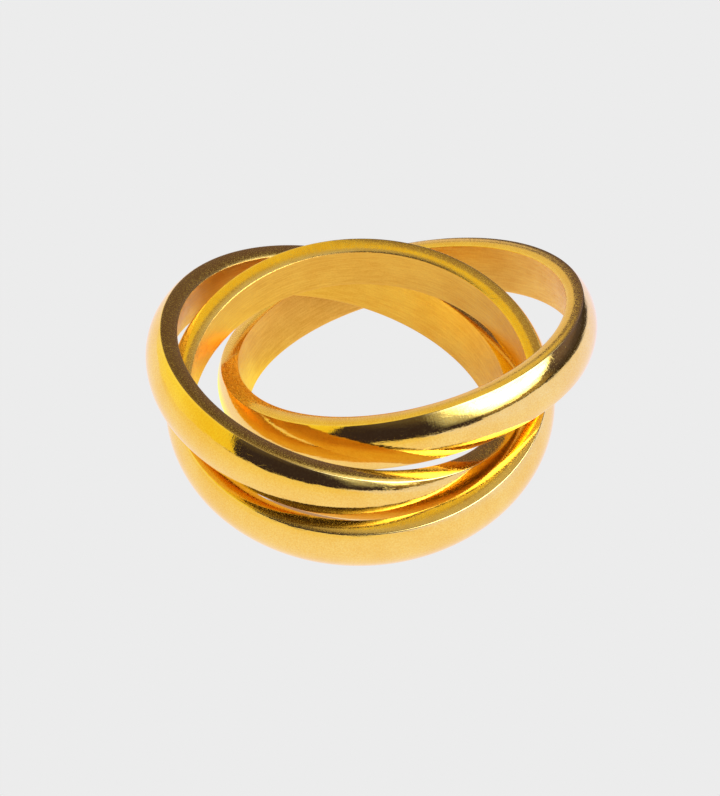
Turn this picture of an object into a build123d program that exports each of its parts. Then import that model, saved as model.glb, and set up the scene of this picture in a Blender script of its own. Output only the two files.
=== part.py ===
"""A rolling ring: equal domed bands, each linked through the others, lying loosely together on a surface.

Frame: +Z up, origin on the surface under the middle of the ring's outline, +X to the right, +Y to the back.
"""

from build123d import *
from collections import namedtuple
from itertools import combinations
from math import ceil
import os

import numpy as np

# Driving sizes, in millimetres
band_bore = 19.0  # inside diameter of each band
band_width = 3.0  # from one side face to the other, where they bulge most
crown_wall = 1.45  # wall at the crown of the domed outside
edge_wall = 1.0  # wall where the dome meets a side face
side_bulge = 0.04  # how far a polished side face stands proud of its own corners
corner_radius = 0.1  # soft corner between the dome and a side face
inner_bevel = 0.06  # bright bevel along both edges of the bore
running_gap = 0.08  # left where two crossing bands come nearest

# How each band lies. Its axis leans from upright by lean degrees, toward the compass angle toward (0 is +X,
# 90 is +Y). Its centre is off the middle of the ring by across and back, as shares of the bore's radius.
Lie = namedtuple("Lie", "lean toward across back")
lies = {
    "left_band": Lie(lean=15.8, toward=4, across=-0.219, back=-0.086),
    "front_band": Lie(lean=13.7, toward=-83, across=-0.084, back=-0.226),
    "right_band": Lie(lean=14.0, toward=136, across=0.198, back=0.213),
}

bore_radius = band_bore / 2
corner_height = band_width / 2 - side_bulge

# The section that every band shares, with x out from the band's axis and y along it
with BuildSketch() as section:
    with BuildLine():
        Polyline(
            (bore_radius + inner_bevel, -corner_height),
            (bore_radius, -corner_height + inner_bevel),
            (bore_radius, corner_height - inner_bevel),
            (bore_radius + inner_bevel, corner_height),
        )
        middle_of_side = bore_radius + (inner_bevel + edge_wall) / 2
        outer_corner = bore_radius + edge_wall
        for side in (-1, 1):
            ThreePointArc(
                (bore_radius + inner_bevel, side * corner_height),
                (middle_of_side, side * band_width / 2),
                (outer_corner, side * corner_height),
            )
        ThreePointArc(
            (outer_corner, -corner_height),
            (bore_radius + crown_wall, 0),
            (outer_corner, corner_height),
        )
    make_face()
    fillet(section.vertices().group_by(Axis.X)[-1], corner_radius)

# The section's outline as points about outline_step apart, with the outward direction at each
outline_step = 0.25
turn_steps = 180
outline = []
tangents = []
for edge in section.edges():
    for share in np.linspace(0, 1, ceil(edge.length / outline_step) + 1):
        outline.append(tuple(edge @ share)[:2])
        tangents.append(tuple(edge % share)[:2])
outline = np.array(outline)
outward = np.array(tangents) @ [[0, -1], [1, 0]]
outward *= np.sign(np.sum(outward * (outline - outline.mean(axis=0)), axis=1, keepdims=True))


def band_axis(lie):
    """Unit vector along a band's axis. A lie is an array: the axis's x and y times the bore's radius, then
    the centre's x and y, so that all four are lengths of like size."""
    level = lie[:2] / bore_radius
    return np.append(level, np.sqrt(1 - level @ level))


def band_centre(lie):
    """Centre of a band whose lowest point is on the surface: its height is how far its section reaches down."""
    axis = band_axis(lie)
    lean_sine = np.hypot(axis[0], axis[1])
    reach = np.max(outline @ [lean_sine, axis[2]])
    return np.append(lie[2:], reach)


def band_skin(lie):
    """Points all over a band's surface: the section's outline, turned about the band's axis."""
    axis = band_axis(lie)
    first = np.cross([0, 1, 0], axis)
    first /= np.linalg.norm(first)
    second = np.cross(axis, first)
    turn = np.linspace(0, 2 * np.pi, turn_steps, endpoint=False)[:, None, None]
    radial = np.cos(turn) * first + np.sin(turn) * second
    skin = outline[:, :1] * radial + outline[:, 1:] * axis
    return band_centre(lie) + skin.reshape(-1, 3)


def depth_to_band(points, lie):
    """Distance of each point from a band, negative inside it. The section is convex, so this is the
    largest distance in front of any of its outline's tangent lines."""
    from_centre = points - band_centre(lie)
    height = from_centre @ band_axis(lie)
    radius = np.sqrt(np.maximum(np.sum(from_centre**2, axis=1) - height**2, 0))
    in_section = np.stack([radius, height], axis=1)
    return np.max(in_section @ outward.T - np.sum(outline * outward, axis=1), axis=1)


def crossing_gaps(state):
    """For each pair of bands, the least distance at each of the two places where they cross."""
    gaps = []
    for one, other in combinations(state, 2):
        crossing_line = np.cross(band_axis(one), band_axis(other))
        middle = (band_centre(one) + band_centre(other)) / 2
        skins = [band_skin(one), band_skin(other)]
        depths = np.concatenate([depth_to_band(skins[0], other), depth_to_band(skins[1], one)])
        ahead = (np.concatenate(skins) - middle) @ crossing_line > 0
        gaps.append([depths[ahead].min(), depths[~ahead].min()])
    return np.array(gaps)


def settle(state):
    """Moves the bands as little as it can until each pair's nearer crossing has the running gap and no
    crossing has less. Each step solves for the least change that the gaps' slopes say will do it, damped
    and limited so that it can't overshoot."""
    probe = 0.02
    damping = 0.02
    largest_miss = 0.15
    near_enough = 0.002
    most_steps = 40
    for _ in range(most_steps):
        gaps = crossing_gaps(state)
        held = (gaps < running_gap) | (gaps == gaps.min(axis=1, keepdims=True))
        miss = (gaps - running_gap)[held]
        if np.abs(miss).max() < near_enough:
            break
        slopes = []
        for nudge in probe * np.eye(state.size).reshape(-1, *state.shape):
            rise = crossing_gaps(state + nudge) - crossing_gaps(state - nudge)
            slopes.append(rise[held] / (2 * probe))
        slopes = np.array(slopes)
        wanted = np.clip(miss, -largest_miss, largest_miss)
        step = slopes @ np.linalg.solve(slopes.T @ slopes + damping * np.eye(len(miss)), wanted)
        state = state - step.reshape(state.shape)
    return state


lean = np.radians([lie.lean for lie in lies.values()])
toward = np.radians([lie.toward for lie in lies.values()])
state = bore_radius * np.stack(
    [
        np.sin(lean) * np.cos(toward),
        np.sin(lean) * np.sin(toward),
        [lie.across for lie in lies.values()],
        [lie.back for lie in lies.values()],
    ],
    axis=1,
)
state = settle(state)
skins = np.concatenate([band_skin(lie) for lie in state])
state[:, 2:] -= (skins.min(axis=0) + skins.max(axis=0))[:2] / 2

os.makedirs("parts", exist_ok=True)
for name, lie in zip(lies, state):
    centre = Vector(*band_centre(lie))
    axis = Vector(*band_axis(lie))
    outward_level = Vector(0, 1, 0).cross(axis).normalized()
    section_plane = Plane(origin=centre, x_dir=outward_level, z_dir=outward_level.cross(axis))
    with BuildPart() as band:
        with BuildSketch(section_plane):
            add(section.sketch)
        revolve(axis=Axis(centre, axis))
    band.part.label = name
    export_step(band.part, f"parts/{name}.step")
    print(name, "centre", [round(v, 3) for v in centre], "axis", [round(v, 4) for v in axis])
print("gaps", crossing_gaps(state).round(3).tolist())
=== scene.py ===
"""An interlocking triple band ring: three plain domed gold bands, linked through one another, lying loosely
on a pale table under soft studio light. Metres, Z up, the origin on the table under the ring's middle."""

import bpy
import numpy as np
from mathutils import Matrix, Vector


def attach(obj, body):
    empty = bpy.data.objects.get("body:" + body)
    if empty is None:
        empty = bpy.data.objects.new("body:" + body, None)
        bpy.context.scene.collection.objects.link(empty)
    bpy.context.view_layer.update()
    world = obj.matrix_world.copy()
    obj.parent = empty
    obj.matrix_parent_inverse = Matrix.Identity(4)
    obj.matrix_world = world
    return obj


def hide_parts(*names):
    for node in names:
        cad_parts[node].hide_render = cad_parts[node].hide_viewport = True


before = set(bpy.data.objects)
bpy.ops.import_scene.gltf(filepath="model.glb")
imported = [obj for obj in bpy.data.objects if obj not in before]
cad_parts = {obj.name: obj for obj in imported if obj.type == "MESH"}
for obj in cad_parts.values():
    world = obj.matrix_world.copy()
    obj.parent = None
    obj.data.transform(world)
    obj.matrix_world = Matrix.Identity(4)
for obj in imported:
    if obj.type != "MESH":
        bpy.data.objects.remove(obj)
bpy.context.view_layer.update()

# The three bands
# Three equal rings, turned from stainless bar and linked before the last of them was closed and polished
# over, so no joint shows. Then all three were gold plated. The outside is domed and polished like a mirror,
# the side faces are lapped almost flat, and the bore is left satin from its turning.

mm = 0.001
bore_radius = 9.5
half_width = 1.5
crown_wall = 1.45  # at the middle of the dome
edge_wall = 1.0  # where the dome meets a side face
side_bulge = 0.04
inner_bevel = 0.025
outer_corner = 0.04  # radius between the dome and a side face
bevel_corner = 0.01  # radius at both ends of a bevel
edge_reach = 0.1  # how far from a corner the plating is rubbed bright


def arc_distance(radius, height, chord_middle, half_chord, rise):
    """Distance outside an arc that stands rise above the middle of its chord. The arc's circle has the radius
    (half_chord squared + rise squared) / (2 rise), and the distance is measured from that circle."""
    arc_radius = (half_chord**2 + rise**2) / (2 * rise)
    centre = chord_middle[0], chord_middle[1] + rise - arc_radius
    return np.hypot(radius - centre[0], height - centre[1]) - arc_radius


def rounded_corner(one, other, turn, corner):
    """Distance outside two borders at once, whose outward directions differ by the angle turn, with an arc of
    radius corner where they meet. In the sector between the two directions it is the distance from the arc's
    centre less the radius, and elsewhere the larger of the two distances."""
    one_in, other_in = one + corner, other + corner
    cosine = np.cos(turn)
    from_centre = np.sqrt(one_in**2 + other_in**2 - 2 * one_in * other_in * cosine) / np.sin(turn)
    at_corner = (one_in > other_in * cosine) & (other_in > one_in * cosine)
    return np.where(at_corner, from_centre - corner, np.maximum(one, other))


def border_distances(radius, height):
    """Distances outside the band's four kinds of border, all in mm: dome, side face, bevel and bore. The
    height is taken without its sign, because the band's two halves are alike."""
    height = np.abs(height)
    corner_height = half_width - side_bulge
    dome_rise = crown_wall - edge_wall
    dome = arc_distance(height, radius, (0, bore_radius + edge_wall), corner_height, dome_rise)
    side_middle = bore_radius + (inner_bevel + edge_wall) / 2
    half_side = (edge_wall - inner_bevel) / 2
    side = arc_distance(radius, height, (side_middle, corner_height), half_side, side_bulge)
    bevel = (height - corner_height + inner_bevel - radius + bore_radius) / np.sqrt(2)
    bore = bore_radius - radius
    return np.stack([dome, side, bevel, bore])


def band_outline(points):
    """Closed outline of the band's section as radius and height in mm. It is found along rays from the middle
    of the wall, by halving: inside where the rounded distance is negative. The points then spread by length
    and by turning together, so the small corners get as many as they need."""
    dome_to_side, side_to_bevel, bevel_to_bore = np.radians([63, 45, 45])
    rays, halvings = 6000, 40
    past_the_section = 2.0
    step_length, step_turn = 0.12, np.radians(5)  # so much of either counts as one step
    most_turn = 0.1  # radians counted at any one ray
    ray = np.linspace(0, 2 * np.pi, rays, endpoint=False)
    ray_radius, ray_height = np.cos(ray), np.sin(ray)
    middle_radius = bore_radius + crown_wall / 2
    near, far = np.zeros(rays), np.full(rays, past_the_section)
    for _ in range(halvings):
        reach = (near + far) / 2
        borders = border_distances(middle_radius + reach * ray_radius, reach * ray_height)
        dome, side, bevel, bore = borders
        distance = rounded_corner(dome, side, dome_to_side, outer_corner)
        distance = rounded_corner(distance, bevel, side_to_bevel, bevel_corner)
        distance = rounded_corner(distance, bore, bevel_to_bore, bevel_corner)
        near, far = np.where(distance < 0, reach, near), np.where(distance < 0, far, reach)
    outline = np.stack([middle_radius + near * ray_radius, near * ray_height], axis=1)
    step = np.roll(outline, -1, axis=0) - outline
    heading = np.unwrap(np.arctan2(step[:, 1], step[:, 0]))
    turning = np.abs(heading - np.roll(heading, 1)) % (2 * np.pi)
    weight = np.hypot(*step.T) / step_length + np.minimum(turning, most_turn) / step_turn
    along = np.concatenate([[0], np.cumsum(weight)])
    closed = np.vstack([outline, outline[:1]])
    place = np.linspace(0, along[-1], points, endpoint=False)
    return np.stack([np.interp(place, along, column) for column in closed.T], axis=1)


def band_pose(node):
    """Centre in mm, and unit axis, of the CAD band. The centre is the mean place of its volume, summed over
    the tetrahedra from the origin to each face. The axis is the direction in which the faces spread least."""
    mesh = node.data
    mesh.calc_loop_triangles()
    corners = np.empty(len(mesh.loop_triangles) * 3, np.int32)
    mesh.loop_triangles.foreach_get("vertices", corners)
    places = np.empty(len(mesh.vertices) * 3)
    mesh.vertices.foreach_get("co", places)
    faces = (places.reshape(-1, 3) / mm)[corners.reshape(-1, 3)]
    volumes = np.einsum("fi,fi->f", faces[:, 0], np.cross(faces[:, 1], faces[:, 2])) / 6
    centre = np.sum(volumes[:, None] * faces.sum(axis=1) / 4, axis=0) / volumes.sum()
    areas = np.linalg.norm(np.cross(faces[:, 1] - faces[:, 0], faces[:, 2] - faces[:, 0]), axis=1)
    offset = faces.mean(axis=1) - centre
    scatter = np.einsum("f,fi,fj->ij", areas, offset, offset)
    axis = np.linalg.eigh(scatter)[1][:, 0]
    return centre, axis * np.sign(axis[2])


def turned_band(name, centre, axis, turns=700, points=110):
    """The outline turned about the axis: point = centre + radius (cos u first + sin u second) + height axis,
    where first and second are square to the axis and to each other, and first is square to Y too. The mesh
    carries each point's place in the band's own frame, and how near it is to a corner of the section."""
    outline = band_outline(points)
    first = np.cross([0, 1, 0], axis)
    first /= np.linalg.norm(first)
    second = np.cross(axis, first)
    u = np.linspace(0, 2 * np.pi, turns, endpoint=False)[:, None]
    radius, height = outline.T
    own = np.stack([radius * np.cos(u), radius * np.sin(u), height + 0 * u], axis=2)
    places = centre + own @ np.stack([first, second, axis])
    ring, step = np.meshgrid(np.arange(turns), np.arange(points), indexing="ij")
    ring_on, step_on = (ring + 1) % turns, (step + 1) % points
    faces = np.stack([ring, ring_on, ring_on, ring], axis=2) * points
    faces = faces + np.stack([step, step, step_on, step_on], axis=2)
    mesh = bpy.data.meshes.new(name)
    mesh.from_pydata((places.reshape(-1, 3) * mm).tolist(), [], faces.reshape(-1, 4).tolist())
    mesh.polygons.foreach_set("use_smooth", np.ones(turns * points, bool))

    own_place = mesh.attributes.new("own_place", "FLOAT_VECTOR", "POINT")
    own_place.data.foreach_set("vector", own.ravel().astype(np.float32))
    nearest, next_nearest = np.sort(border_distances(radius, height), axis=0)[:1:-1]
    nearness = 1 - np.minimum((nearest - next_nearest) / edge_reach, 1)
    edge = mesh.attributes.new("edge", "FLOAT", "POINT")
    edge.data.foreach_set("value", np.tile(nearness, turns).astype(np.float32))

    middle_radius = (radius + np.roll(radius, -1)) / 2
    middle_height = (height + np.roll(height, -1)) / 2
    border = np.argmax(border_distances(middle_radius, middle_height), axis=0)
    polished, lapped, satin = 0, 1, 2
    finish = np.array([polished, lapped, satin, satin])[border]
    mesh.polygons.foreach_set("material_index", np.tile(finish, turns))
    around = (ring[..., None] + [0, 1, 1, 0]) / turns
    across = (step[..., None] + [0, 0, 1, 1]) / points
    unrolled = mesh.uv_layers.new(name="around_and_across")
    unrolled.data.foreach_set("uv", np.stack([around, across], axis=3).ravel().astype(np.float32))
    mesh.update()
    band = bpy.data.objects.new(name, mesh)
    bpy.context.scene.collection.objects.link(band)
    return band


def place_node(tree, kind, inputs, **settings):
    """Adds a node to a shader tree. Each of its inputs is linked if it is a socket, and otherwise set."""
    node = tree.nodes.new("ShaderNode" + kind)
    for setting, value in settings.items():
        setattr(node, setting, value)
    for name, value in inputs.items():
        if isinstance(value, bpy.types.NodeSocket):
            tree.links.new(value, node.inputs[name])
        else:
            node.inputs[name].default_value = value
    return node


def open_group(name, inputs, outputs):
    """An empty shader node group with its named sockets, and the sockets at its two ends."""
    tree = bpy.data.node_groups.new(name, "ShaderNodeTree")
    for socket, kind in inputs.items():
        tree.interface.new_socket(socket, in_out="INPUT", socket_type="NodeSocket" + kind)
    for socket, kind in outputs.items():
        tree.interface.new_socket(socket, in_out="OUTPUT", socket_type="NodeSocket" + kind)
    return tree, tree.nodes.new("NodeGroupInput").outputs, tree.nodes.new("NodeGroupOutput").inputs


def noise(tree, place, scale, detail=2.0, roughness=0.5):
    """Smooth noise about 0.5, with scale waves for each unit of the place."""
    inputs = {"Vector": place, "Scale": scale, "Detail": detail, "Roughness": roughness}
    return place_node(tree, "TexNoise", inputs).outputs["Fac"]


def spread(tree, value, low, high, to_low=0.0, to_high=1.0):
    """The value carried from low..high to to_low..to_high, eased at both ends and held beyond them."""
    ends = {"Value": value, "From Min": low, "From Max": high, "To Min": to_low, "To Max": to_high}
    return place_node(tree, "MapRange", ends, interpolation_type="SMOOTHSTEP").outputs["Result"]


def reckon(tree, operation, one, other=0.0):
    """One step of arithmetic on two values, or on one."""
    return place_node(tree, "Math", {0: one, 1: other}, operation=operation).outputs["Value"]


def all_of(tree, *shares):
    """The product of some shares, which is 1 only where every one of them is."""
    product = shares[0]
    for share in shares[1:]:
        product = reckon(tree, "MULTIPLY", product, share)
    return product


def weighed(tree, pairs):
    """The sum of value times weight over the pairs."""
    products = [reckon(tree, "MULTIPLY", value, weight) for value, weight in pairs]
    total = products[0]
    for product in products[1:]:
        total = reckon(tree, "ADD", total, product)
    return total


def blend(tree, share, one, other):
    """The colour one where share is 0, and other where it is 1."""
    inputs = {"Factor": share, "A": one, "B": other}
    return place_node(tree, "Mix", inputs, data_type="RGBA").outputs["Result"]


def worked_gold_group():
    """The marks that working leaves in the metal, from a place in the band's own frame in mm. Streaks are
    noise on (10 cos u, 10 sin u, across), stretched by Lay, where across is the height, or the radius on a
    level face. Drawn lines are the same with one lay for all. Grain is fine noise on the place itself, and
    cloud is slow noise. Height adds them up by their depths."""
    tree, given, wanted = open_group(
        "worked_gold",
        {
            "Place": "Vector",
            "Level Face": "Float",
            "Lay": "Vector",
            "Grain Size": "Float",
            "Streak Depth": "Float",
            "Drawn Depth": "Float",
            "Grain Depth": "Float",
            "Wave Depth": "Float",
        },
        {"Height": "Float", "Streaks": "Float", "Grain": "Float", "Cloud": "Float"},
    )
    unrolled_radius = 10.0
    drawn_lay = (0.55, 0.55, 3.5)
    cloud_scale = 0.45
    faint, strong = 0.3, 0.7
    parts = place_node(tree, "SeparateXYZ", {"Vector": given["Place"]}).outputs
    flat = place_node(tree, "CombineXYZ", {"X": parts["X"], "Y": parts["Y"]}).outputs["Vector"]
    radius = place_node(tree, "VectorMath", {0: flat}, operation="LENGTH").outputs["Value"]
    outward = place_node(tree, "VectorMath", {0: flat}, operation="NORMALIZE").outputs["Vector"]
    around = place_node(tree, "SeparateXYZ", {"Vector": outward}).outputs
    sides = {"Factor": given["Level Face"], "A": parts["Z"], "B": radius}
    across = place_node(tree, "Mix", sides, data_type="FLOAT").outputs["Result"]
    round_x, round_y = [reckon(tree, "MULTIPLY", around[axis], unrolled_radius) for axis in "XY"]
    three = {"X": round_x, "Y": round_y, "Z": across}
    unrolled = place_node(tree, "CombineXYZ", three).outputs["Vector"]
    laid = place_node(tree, "VectorMath", {0: unrolled, 1: given["Lay"]}, operation="MULTIPLY")
    streaks = noise(tree, laid.outputs["Vector"], scale=1.0, detail=3.0, roughness=0.65)
    along = place_node(tree, "VectorMath", {0: unrolled, 1: drawn_lay}, operation="MULTIPLY")
    drawn = noise(tree, along.outputs["Vector"], scale=1.0)
    grain = noise(tree, given["Place"], given["Grain Size"], detail=1.5, roughness=0.6)
    cloud = noise(tree, given["Place"], cloud_scale)
    layers = (
        (streaks, given["Streak Depth"]),
        (drawn, given["Drawn Depth"]),
        (grain, given["Grain Depth"]),
        (cloud, given["Wave Depth"]),
    )
    tree.links.new(weighed(tree, layers), wanted["Height"])
    for mark, pattern in (("Streaks", streaks), ("Grain", grain), ("Cloud", cloud)):
        tree.links.new(spread(tree, pattern, faint, strong), wanted[mark])
    return tree


def hairline_group():
    """Fine scratches from wear. Noise that is stretched twelvefold along a turned direction crosses its
    middle value along thin lines, and each line shows only where a slow noise is high."""
    tree, given, wanted = open_group(
        "hairlines", {"Place": "Vector", "Turn": "Vector", "Amount": "Float"}, {"Scratch": "Float"}
    )
    stretch, half_line, where_scale = (0.12, 1.4, 1.4), 0.006, 1.1
    turned = {"Vector": given["Place"], "Rotation": given["Turn"], "Scale": stretch}
    drawn = noise(tree, place_node(tree, "Mapping", turned).outputs["Vector"], scale=1.0, detail=1.0)
    off_middle = reckon(tree, "ABSOLUTE", reckon(tree, "SUBTRACT", drawn, 0.5))
    line = spread(tree, off_middle, 0.0, half_line, 1.0, 0.0)
    where = spread(tree, noise(tree, given["Place"], where_scale, detail=1.0), 0.5, 0.68)
    tree.links.new(all_of(tree, line, where, given["Amount"]), wanted["Scratch"])
    return tree


def worn_edge_group():
    """Rubbing brightens the corners of the section. Edge is 1 on a corner and 0 away from it, and a noise
    along the corner breaks the rubbed line up."""
    tree, given, wanted = open_group("worn_edges", {"Place": "Vector", "Edge": "Float"}, {"Wear": "Float"})
    break_scale, least_wear = 2.3, 0.35
    broken = spread(tree, noise(tree, given["Place"], break_scale, detail=3.0), 0.3, 0.6, least_wear, 1.0)
    tree.links.new(all_of(tree, given["Edge"], broken), wanted["Wear"])
    return tree


marks, hairlines, rubbed = worked_gold_group(), hairline_group(), worn_edge_group()
coat_roughness = 0.06
scratch_turn = (0.4, 0.9, 0.3)
scratch_matt = 0.12  # how much rougher a scratch is than the gold around it
scratch_depth = 1.2  # in micrometres, as all the marks' depths are
micrometre = 0.001 * mm


def gold_finish(name, tones, rubbed_tone, roughness, mottle, worked, coat):
    """Gold plate on steel. The colour goes between the two tones with the marks, each by its share in mottle,
    and to the rubbed tone along the corners. The roughness goes from its lower to its higher value where the
    grain is strong, which makes fine matt specks. The marks' and the scratches' heights are the bump."""
    material = bpy.data.materials.new(name)
    material.use_nodes = True
    tree = material.node_tree
    shader = tree.nodes["Principled BSDF"]
    shader.inputs["Metallic"].default_value = 1
    shader.inputs["Coat Weight"].default_value = coat
    shader.inputs["Coat Roughness"].default_value = coat_roughness
    place = place_node(tree, "Attribute", {}, attribute_name="own_place").outputs["Vector"]
    edge = place_node(tree, "Attribute", {}, attribute_name="edge").outputs["Fac"]
    made = place_node(tree, "Group", {}, node_tree=marks)
    tree.links.new(place, made.inputs["Place"])
    for socket, value in worked.items():
        made.inputs[socket].default_value = value
    wear = place_node(tree, "Group", {}, node_tree=rubbed)
    tree.links.new(place, wear.inputs["Place"])
    tree.links.new(edge, wear.inputs["Edge"])
    scratch = place_node(tree, "Group", {}, node_tree=hairlines)
    tree.links.new(place, scratch.inputs["Place"])
    scratch.inputs["Turn"].default_value = scratch_turn
    scratch.inputs["Amount"].default_value = 1

    mixture = weighed(tree, [(made.outputs[mark], share) for mark, share in mottle.items()])
    colour = blend(tree, mixture, *tones)
    colour = blend(tree, wear.outputs["Wear"], colour, rubbed_tone)
    tree.links.new(colour, shader.inputs["Base Color"])
    matt = spread(tree, made.outputs["Grain"], 0.4, 1.0, *roughness)
    scratched = reckon(tree, "MULTIPLY", scratch.outputs["Scratch"], scratch_matt)
    tree.links.new(reckon(tree, "ADD", matt, scratched), shader.inputs["Roughness"])
    cut = reckon(tree, "MULTIPLY", scratch.outputs["Scratch"], -scratch_depth)
    height = reckon(tree, "ADD", made.outputs["Height"], cut)
    bump = place_node(tree, "Bump", {"Height": height, "Distance": micrometre})
    tree.links.new(bump.outputs["Normal"], shader.inputs["Normal"])
    return material


finishes = [
    gold_finish(
        "polished_outside",
        tones=((0.92, 0.61, 0.115, 1), (1.0, 0.79, 0.225, 1)),
        rubbed_tone=(1.0, 0.80, 0.32, 1),
        roughness=(0.06, 0.15),
        mottle={"Streaks": 0.1, "Grain": 0.6, "Cloud": 0.3},
        worked={
            "Lay": (3.5, 3.5, 0.7),
            "Grain Size": 11.0,
            "Streak Depth": 3.6,
            "Drawn Depth": 9.0,
            "Grain Depth": 1.1,
            "Wave Depth": 10.0,
        },
        coat=0.4,
    ),
    gold_finish(
        "lapped_sides",
        tones=((0.80, 0.475, 0.08, 1), (1.0, 0.73, 0.155, 1)),
        rubbed_tone=(1.0, 0.75, 0.25, 1),
        roughness=(0.07, 0.31),
        mottle={"Streaks": 0.2, "Grain": 0.6, "Cloud": 0.2},
        worked={
            "Level Face": 1.0,
            "Lay": (4.5, 4.5, 1.6),
            "Grain Size": 17.0,
            "Streak Depth": 1.5,
            "Drawn Depth": 1.4,
            "Grain Depth": 1.2,
            "Wave Depth": 4.0,
        },
        coat=0.1,
    ),
    gold_finish(
        "satin_bore",
        tones=((0.80, 0.43, 0.065, 1), (1.0, 0.69, 0.155, 1)),
        rubbed_tone=(0.95, 0.60, 0.14, 1),
        roughness=(0.32, 0.52),
        mottle={"Streaks": 0.45, "Grain": 0.3, "Cloud": 0.25},
        worked={
            "Lay": (0.7, 0.7, 9.5),
            "Grain Size": 9.0,
            "Streak Depth": 7.0,
            "Drawn Depth": 4.0,
            "Grain Depth": 4.5,
            "Wave Depth": 8.0,
        },
        coat=0.0,
    ),
]
for name in ("front_band", "left_band", "right_band"):
    band = turned_band(name + "_gold", *band_pose(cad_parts[name]))
    for finish in finishes:
        band.data.materials.append(finish)
    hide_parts(name)
    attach(band, name)

# The table
# A wide sheet of opal acrylic, lit from below, so that the ring throws no shadow on it. The camera sees it
# as one even grey. The gold mirrors it warmer, and its lit area ends some way to the back right and the
# front. A thin arc at the front left, where the bands close over it, is painted as shade, tan from the gold's
# own light.

half_table = 8
below_the_ring = 0.01 * mm
even_grey = (0.839, 0.839, 0.839, 1)
low, high = -half_table, half_table
corners = [(low, low), (high, low), (high, high), (low, high)]
table_mesh = bpy.data.meshes.new("table")
table_mesh.from_pydata([(x, y, -below_the_ring) for x, y in corners], [], [(0, 1, 2, 3)])
table = bpy.data.objects.new("table", table_mesh)
bpy.context.scene.collection.objects.link(table)
opal = bpy.data.materials.new("opal_acrylic")
opal.use_nodes = True
tree = opal.node_tree
shader = tree.nodes["Principled BSDF"]
shader.inputs["Base Color"].default_value = (0, 0, 0, 1)
shader.inputs["Specular IOR Level"].default_value = 0
shader.inputs["Emission Strength"].default_value = 1
spot = place_node(tree, "TexCoord", {}).outputs["Object"]
parts = place_node(tree, "SeparateXYZ", {"Vector": spot}).outputs


def spot_along(direction):
    """How far out the spot lies along a level direction."""
    ends = {0: spot, 1: direction}
    return place_node(tree, "VectorMath", ends, operation="DOT_PRODUCT").outputs["Value"]


def spot_from(x, y):
    """How far the spot lies from a place that is given in mm."""
    ends = {0: spot, 1: (x * mm, y * mm, 0)}
    return place_node(tree, "VectorMath", ends, operation="DISTANCE").outputs["Value"]


def past(length, low, high):
    """0 to 1 as the length goes from low to high, both in mm."""
    return spread(tree, length, low * mm, high * mm)


def within(length, low, high):
    """1 to 0 as the length goes from low to high, both in mm."""
    return spread(tree, length, low * mm, high * mm, 1.0, 0.0)


# Around the ring the gold mirrors the table pale, warm at the front left and cool at the right
pale, warm, cool = (0.965, 0.845, 0.87, 1), (0.95, 0.775, 0.44, 1), (0.93, 0.87, 1.30, 1)
front_left, back_right = (-0.55, -0.835, 0), (0.5, 0.866, 0)
glow = blend(tree, past(spot_along(front_left), 6, 38), pale, warm)
glow = blend(tree, past(parts["X"], 6, 28), glow, cool)

# Painted shade inside the ring, darkest at the back right, with a painted pool of warm light at the left
near_left, near_right = (0.88, 0.76, 0.50, 1), (0.76, 0.63, 0.57, 1)
far_left, far_right = (0.80, 0.68, 0.43, 1), (0.60, 0.49, 0.48, 1)
painted_light_pool = (1.16, 1.14, 0.35, 1)
rightward = past(parts["X"], -3, 4)
near_side = blend(tree, rightward, near_left, near_right)
far_side = blend(tree, rightward, far_left, far_right)
inside = blend(tree, past(parts["Y"], 3.5, 6.5), near_side, far_side)
glow = blend(tree, within(spot_from(0, 0), 8, 10), glow, inside)
# A painted pool of warm light on the table at the left, inside the ring
glow = blend(tree, within(spot_from(-7.5, 3.5), 2, 6), glow, painted_light_pool)

# Beyond the lit area it is dark. Behind, that area ends in two straight edges that meet in an inward corner
# at the back left, and in front it ends in one
unlit = (0.05, 0.037, 0.036, 1)
lit_at_right = within(spot_along(back_right), 34, 58)
lit_at_left = within(spot_along((0.82, 0.57, 0)), 8, 26)
lit_in_front = within(spot_along((0.34, -0.94, 0)), 80, 230)
lit_area = all_of(tree, reckon(tree, "MAXIMUM", lit_at_right, lit_at_left), lit_in_front)
glow = blend(tree, lit_area, unlit, glow)

# The painted tan shade lies on an arc that follows the right band's foot, and ends at the right and the back
painted_shade_tan = (0.46, 0.25, 0.12, 1)
arc_radius = 7.55
off_arc = reckon(tree, "SUBTRACT", spot_from(-0.9, -0.35), arc_radius * mm)
off_arc = reckon(tree, "ABSOLUTE", off_arc)
on_painted_shade_arc = all_of(
    tree,
    within(off_arc, 0.1, 0.35),
    within(parts["Y"], -6.2, -5.5),
    within(parts["X"], -1.5, -0.6),
)
# The camera sees the even grey, with the painted tan shade on the arc
seen = blend(tree, on_painted_shade_arc, even_grey, painted_shade_tan)
sight = place_node(tree, "LightPath", {}).outputs["Is Camera Ray"]
tree.links.new(blend(tree, sight, glow, seen), shader.inputs["Emission Color"])
table_mesh.materials.append(opal)

# The studio light
# One long soft box at the right and overhead, a steel frame with white cloth that is brightest in its middle.
# Around it is a dim room with a few paler things, and a wall of warm paper curves from the back round to the
# front left.

box_widening, box_lengthening = 1.15, 1.9
box_side = box_widening * np.array([1.003, 0.688, 0.0136])
box_length = box_lengthening * np.array([-0.42994, 0.61402, 0.66191])
box_corner = np.array([0.156, -0.8805, 0.090])
box_strength = 6.4
width, length = np.linalg.norm(box_side), np.linalg.norm(box_length)
light = bpy.data.lights.new("soft_box", "AREA")
light.shape = "RECTANGLE"
light.size, light.size_y = width, length
light.energy = box_strength * np.pi * width * length
light.use_nodes = True
tree = light.node_tree
on_box = place_node(tree, "NewGeometry", {}).outputs["Parametric"]

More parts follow.
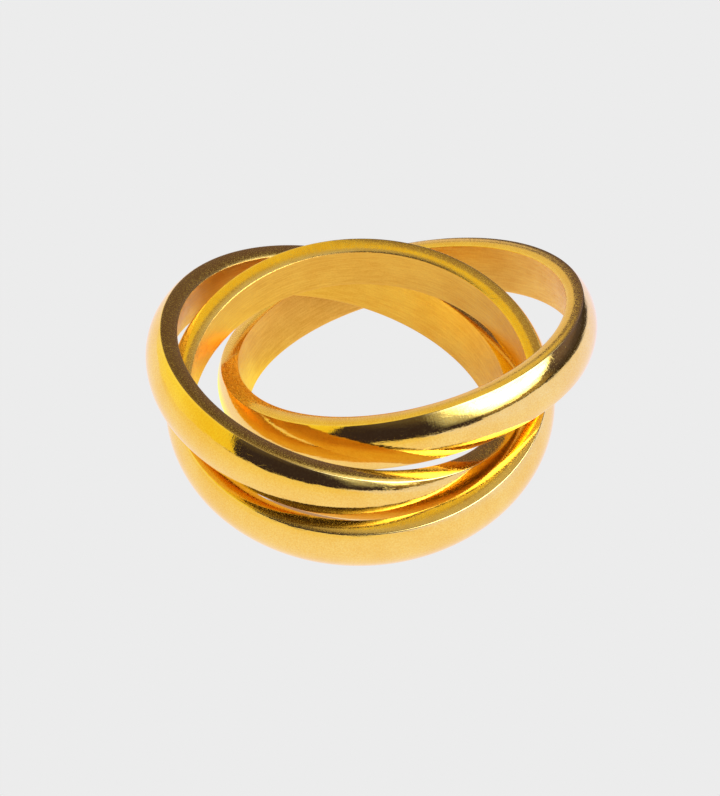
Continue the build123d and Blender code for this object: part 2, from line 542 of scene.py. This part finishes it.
# How the cloth fades toward its edges: a direction over the box's face, the two places along it between
# which the light comes up, and the least share that is left before them
fades = []
for direction, low, high, least in (
    ((box_widening, 0.6, 0), 0.30, 0.50, 0.1),
    ((box_widening, 0, 0), 0.05, 0.20, 0.0),
    ((-box_widening, 1.07, 0), -0.92, -0.58, 0.0),
    ((-box_widening, 0, 0), -1.12, -0.93, 0.0),
    ((0, 1, 0), -0.04, 0.16, 0.0),
    ((0, -1, 0), -0.43, -0.20, 0.0),
):
    along = place_node(tree, "VectorMath", {0: on_box, 1: direction}, operation="DOT_PRODUCT")
    fades.append(spread(tree, along.outputs["Value"], low, high, least, 1.0))
tree.links.new(all_of(tree, *fades), tree.nodes["Emission"].inputs["Strength"])
soft_box = bpy.data.objects.new("soft_box", light)
axes = [box_side / width, box_length / length]
box_middle = box_corner + (box_side + box_length) / 2
stand = np.stack([*axes, np.cross(*axes), box_middle], axis=1)
soft_box.matrix_world = Matrix(np.vstack([stand, [0, 0, 0, 1]]).tolist())
soft_box.visible_camera = False
bpy.context.scene.collection.objects.link(soft_box)

world = bpy.data.worlds.new("dim_room")
bpy.context.scene.world = world
world.use_nodes = True
tree = world.node_tree
outlook = place_node(tree, "TexCoord", {}).outputs["Generated"]


def toward(direction, low, high):
    """0 to 1 as the cosine between the outlook and the direction goes from low to high."""
    facing = place_node(tree, "VectorMath", {0: outlook, 1: direction}, operation="DOT_PRODUCT")
    return spread(tree, facing.outputs["Value"], low, high)


# The room, darkest in front, and the lit part of its ceiling, from overhead to the back
up, down, back, left = (0, 0, 1), (0, 0, -1), (0, 1, 0), (-0.966, -0.259, 0)
room_in_front, room_above = (0.036, 0.0255, 0.048, 1), (0.11, 0.083, 0.07, 1)
room_behind_low, room_behind_high = (0.068, 0.052, 0.078, 1), (0.160, 0.118, 0.185, 1)
lit_ceiling = (0.42, 0.325, 0.23, 1)
room_behind = blend(tree, toward(up, 0.05, 0.26), room_behind_low, room_behind_high)
tone = blend(tree, toward(back, -0.2, 0.3), room_in_front, room_behind)
tone = blend(tree, toward(up, 0.4, 0.75), tone, room_above)
on_ceiling = all_of(
    tree,
    toward(up, 0.62, 0.9),
    toward((-0.5, 0.86, 0), -0.25, 0.05),
    toward((0.5, 0.86, 0), 0.10, 0.19),
)
tone = blend(tree, on_ceiling, tone, lit_ceiling)

# The paler things: one low at the front right, one halfway up at the back right, one almost overhead
for direction, low, high, thing_tone in (
    ((0.906, -0.423, 0), 0.86, 0.98, (0.36, 0.25, 0.13, 1)),
    ((0.435, 0.557, 0.707), 0.984, 0.996, (1.15, 1.15, 1.2, 1)),
    ((0.129, 0.224, 0.966), 0.983, 0.998, (0.66, 0.60, 0.55, 1)),
):
    tone = blend(tree, toward(direction, low, high), tone, thing_tone)

# The wall lies between its two ends and is open straight overhead, with a small round notch in its back end
in_from_back_end, in_from_front_end = (-0.990, -0.1128, 0.0847), (-0.616, 0.788, 0)
in_notch = toward((-0.100, 0.951, 0.292), 0.9962, 0.9985)
on_wall = all_of(
    tree,
    toward(in_from_back_end, -0.02, 0.02),
    toward(in_from_front_end, 0, 0.03),
    reckon(tree, "SUBTRACT", 1.0, in_notch),
    toward(down, -0.97, -0.95),
)
paper_low, paper_high, paper_top = (0.88, 0.75, 0.82, 1), (0.86, 0.715, 0.27, 1), (0.92, 0.725, 0.13, 1)
left_low, left_high, front_end_tone = (1.0, 0.853, 0.33, 1), (1.0, 0.853, 0.19, 1), (0.93, 0.715, 0.08, 1)
paper = blend(tree, toward(up, 0.05, 0.5), paper_low, paper_high)
paper_at_left = blend(tree, toward(up, 0.0, 0.4), left_low, left_high)
paper = blend(tree, toward(left, 0.1, 0.75), paper, paper_at_left)
at_front_end = all_of(tree, toward(in_from_front_end, 0.75, 0.25), toward(left, 0.6, 0.8))
paper = blend(tree, at_front_end, paper, front_end_tone)
paper = blend(tree, toward(up, 0.6, 0.88), paper, paper_top)
tone = blend(tree, on_wall, tone, paper)
sight = place_node(tree, "LightPath", {}).outputs["Is Camera Ray"]
tree.links.new(blend(tree, sight, tone, even_grey), tree.nodes["Background"].inputs["Color"])
bpy.context.scene.view_settings.view_transform = "Standard"

# The camera
# A long lens at the front, 35 cm away, looking down 39 degrees. It is turned 3 degrees about its own line of
# sight, as on a stand that isn't quite level.

lens = bpy.data.cameras.new("long_lens")
lens.lens = 278.24
lens.sensor_width = 36
lens.clip_start, lens.clip_end = 0.01, 100
camera = bpy.data.objects.new("camera", lens)
camera_place = Vector((8.22, -272.08, 219.87)) * mm
ahead = Vector((-0.026, 0.7808, -0.6243)).normalized()
nearly_up = Vector((0.0325, 0.6248, 0.7801))
right = ahead.cross(nearly_up).normalized()
stand = Matrix((right, right.cross(ahead), -ahead)).transposed().to_4x4()
camera.matrix_world = Matrix.Translation(camera_place) @ stand
bpy.context.scene.collection.objects.link(camera)
bpy.context.scene.camera = camera
